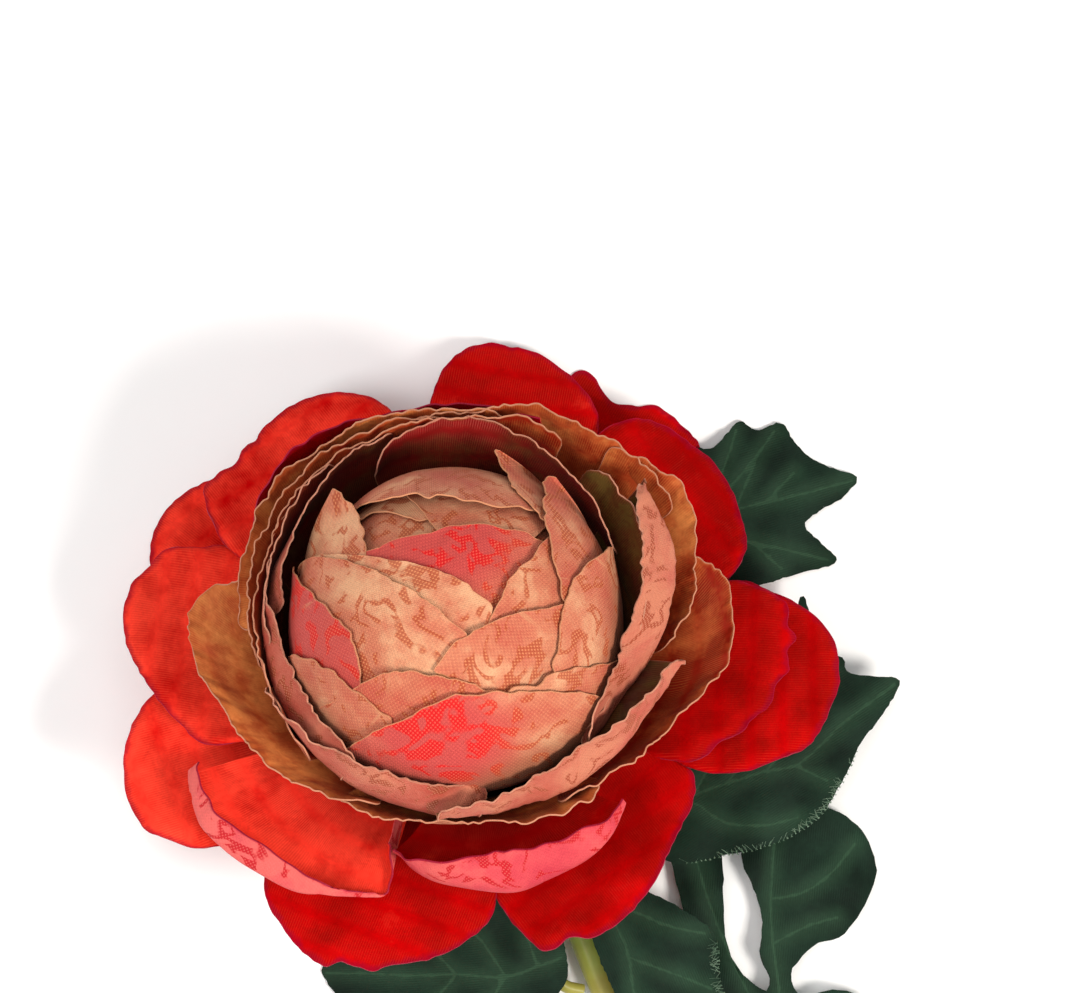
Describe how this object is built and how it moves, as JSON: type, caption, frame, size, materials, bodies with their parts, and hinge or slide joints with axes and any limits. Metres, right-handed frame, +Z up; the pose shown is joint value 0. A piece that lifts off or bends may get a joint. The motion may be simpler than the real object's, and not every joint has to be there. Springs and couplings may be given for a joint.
{
  "type": "artificial peony flower",
  "caption": "Cut artificial flower of printed fabric, laid on its back: a ball of overlapping petals in nested petal bowls, wide red outer petals, dark leaves and a bent stem.",
  "frame": {"origin": "on the surface it lies on, under the middle of the flower's bounding box", "axes": "+Z up from the surface, +Y from the stem's cut end towards the bloom's far side, +X to the right as the bloom is looked down on with its stem towards the viewer"},
  "size_m": [0.1267, 0.1886, 0.0672],
  "materials": {
    "guard_fabric": "satin-faced printed cloth, red",
    "cup_fabric": "printed cloth, tan and rust",
    "collar_fabric": "printed cloth, dusty peach",
    "heart_fabric": "printed cloth, peach and pink",
    "leaf_fabric": "stiffened cloth, dark green",
    "stem_plastic": "matt moulded sleeve, yellow-green with a brown tint",
    "calyx_plastic": "matt moulded, light green"
  },
  "bodies": {
    "root": {"stem": "stem_plastic", "calyx": "calyx_plastic", "guard_petals": "guard_fabric", "cup_petals": "cup_fabric", "collar_petals": "collar_fabric", "heart_petals": "heart_fabric", "leaf_1": "leaf_fabric", "leaf_2": "leaf_fabric", "leaf_3": "leaf_fabric", "leaf_4": "leaf_fabric", "leaf_5": "leaf_fabric"}
  },
  "joints": []
}
